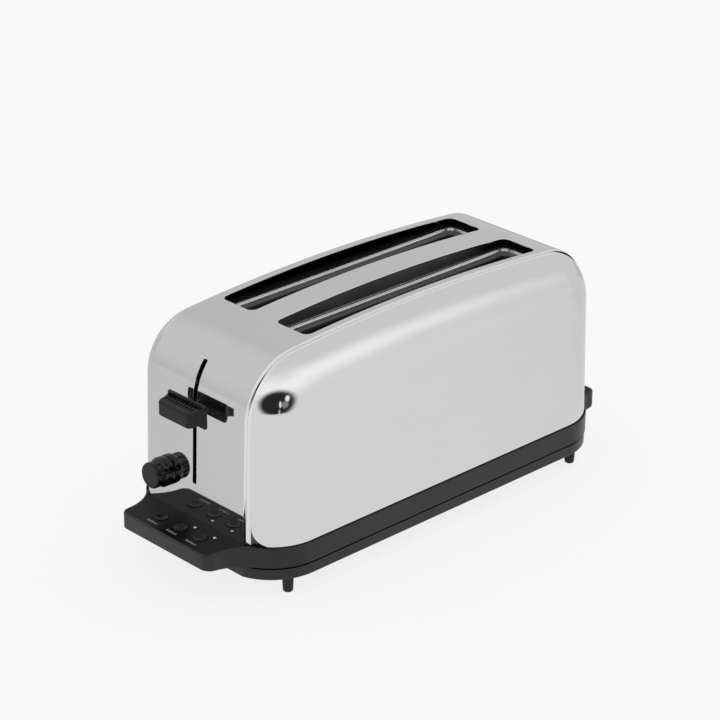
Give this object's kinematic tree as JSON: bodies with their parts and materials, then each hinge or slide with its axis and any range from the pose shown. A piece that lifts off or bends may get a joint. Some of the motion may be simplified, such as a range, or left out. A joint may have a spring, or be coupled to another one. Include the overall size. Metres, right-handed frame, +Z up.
{
  "type": "long slot toaster",
  "caption": "Long slot toaster with an arched steel body, two long bread slots, a lift lever, a browning knob, push buttons, a black base and a crumb tray.",
  "frame": {"origin": "on the table under the middle of the body", "axes": "+X along the body to the rear end, with the lever end at -X; +Y across the body to the side that the picture doesn't show; +Z up"},
  "size_m": [0.4046, 0.1586, 0.181],
  "materials": {
    "brushed_wrap": "satin brushed steel",
    "polished_panel": "polished steel",
    "inner_steel": "plain sheet steel",
    "base_plastic": "fine matt black",
    "control_plastic": "satin black",
    "inner_plastic": "plain black",
    "foot_rubber": "matt black",
    "mica": "mica sheet",
    "circuit": "circuit board",
    "winding": "enamelled wire",
    "lens": "milky clear"
  },
  "bodies": {
    "housing": {"upper_base": "base_plastic", "lower_base": "base_plastic", "feet": "foot_rubber", "front_ledge_cover": "base_plastic", "rear_ledge_cover": "base_plastic", "outer_wrap": "brushed_wrap", "side_panel_near": "polished_panel", "side_panel_far": "polished_panel", "slot_deck": "inner_steel", "front_bulkhead": "inner_steel", "rear_bulkhead": "inner_steel", "rod_bracket": "inner_steel", "guide_rods": "inner_steel", "lift_spring": "inner_steel", "mica_board_near": "mica", "mica_board_centre": "mica", "mica_board_far": "mica", "heater_ribbon_near": "inner_steel", "heater_ribbon_centre": "inner_steel", "heater_ribbon_far": "inner_steel", "bread_guards_near": "inner_steel", "bread_guards_far": "inner_steel", "magnet_core": "inner_steel", "magnet_coil": "winding", "control_board": "circuit", "potentiometer": "inner_steel", "contact_block": "inner_plastic", "button_board": "circuit", "indicator_lenses": "lens", "cord_gland": "base_plastic", "base_screws": "inner_steel", "bulkhead_screws": "inner_steel"},
    "carriage": {"carriage_plate": "inner_steel", "carriage_bushes": "inner_plastic", "lever_arm": "inner_steel", "lever_handle": "control_plastic", "armature": "inner_steel", "bread_lifter_near": "inner_steel", "bread_lifter_far": "inner_steel"},
    "knob": {"browning_knob": "control_plastic", "knob_spindle": "inner_steel"},
    "button_far": {"button_far": "control_plastic"},
    "button_middle": {"button_middle": "control_plastic"},
    "button_near": {"button_near": "control_plastic"},
    "tray": {"crumb_tray": "inner_steel"}
  },
  "joints": [
    {"name": "lift", "type": "slide", "parent": "housing", "child": "carriage", "axis": [0, 0, 1], "range_m": [-0.056, 0.024], "stiffness_N_per_m": 150, "springref_m": 0.0064, "deforming": ["lift_spring"]},
    {"name": "browning", "type": "hinge", "parent": "housing", "child": "knob", "pos_m": [-0.17158, 0.0333, 0.0665], "axis": [-0.9994, 0, 0.0349], "range_deg": [-135, 135]},
    {"name": "tray_slide", "type": "slide", "parent": "housing", "child": "tray", "axis": [1, 0, 0], "range_m": [0, 0.22]},
    {"name": "button_far_press", "type": "slide", "parent": "housing", "child": "button_far", "axis": [0, 0, 1], "range_m": [-0.0012, 0], "stiffness_N_per_m": 300},
    {"name": "button_middle_press", "type": "slide", "parent": "housing", "child": "button_middle", "axis": [0, 0, 1], "range_m": [-0.0012, 0], "stiffness_N_per_m": 300},
    {"name": "button_near_press", "type": "slide", "parent": "housing", "child": "button_near", "axis": [0, 0, 1], "range_m": [-0.0012, 0], "stiffness_N_per_m": 300}
  ]
}
